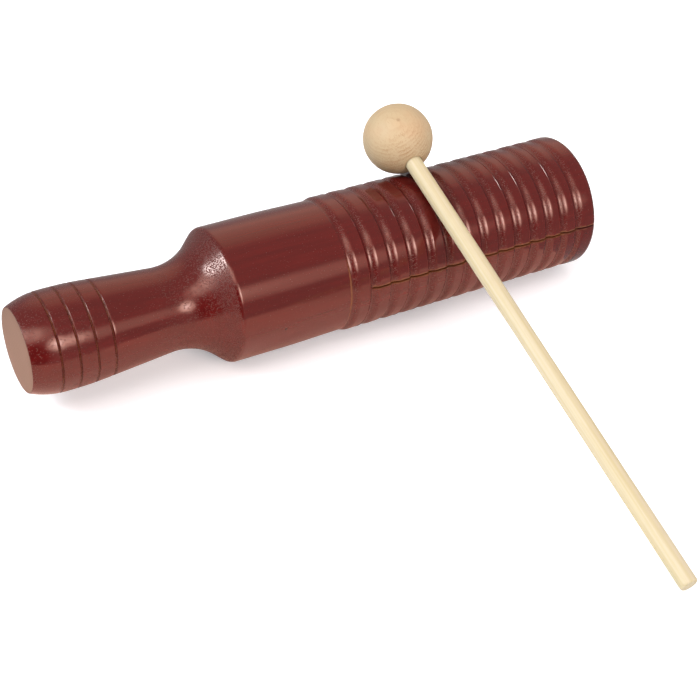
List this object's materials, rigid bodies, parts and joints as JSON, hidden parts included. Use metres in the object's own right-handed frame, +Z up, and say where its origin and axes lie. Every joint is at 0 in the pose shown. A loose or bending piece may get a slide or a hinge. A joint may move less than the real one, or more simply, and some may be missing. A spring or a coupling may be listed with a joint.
{
  "type": "guiro tone block with beater",
  "caption": "Turned wooden hand woodblock: handle, ribbed hollow barrel with a saw kerf and open mouth, struck or scraped with the ball-headed wooden beater that leans on it.",
  "frame": {"origin": "centre of the handle's flat end face, on the turning axis; the table its ribs lie on is 25.3 mm below", "axes": "+X along the turning axis from the handle to the open mouth, +Z up from the table, the beater's stick reaches out towards -Y"},
  "size_m": [0.2235, 0.2047, 0.0734],
  "materials": {
    "stained_wood": "dark red-brown mahogany stain under gloss lacquer",
    "ball_wood": "sanded bare pale hardwood",
    "dowel_wood": "sanded bare pale dowel"
  },
  "bodies": {
    "block": {"tone_block": "stained_wood"},
    "beater": {"beater_ball": "ball_wood", "beater_stick": "dowel_wood"}
  },
  "joints": [
    {"name": "beater_lift", "type": "slide", "parent": "block", "child": "beater", "axis": [0, 0, 1], "range_m": [0, 0.12]}
  ]
}
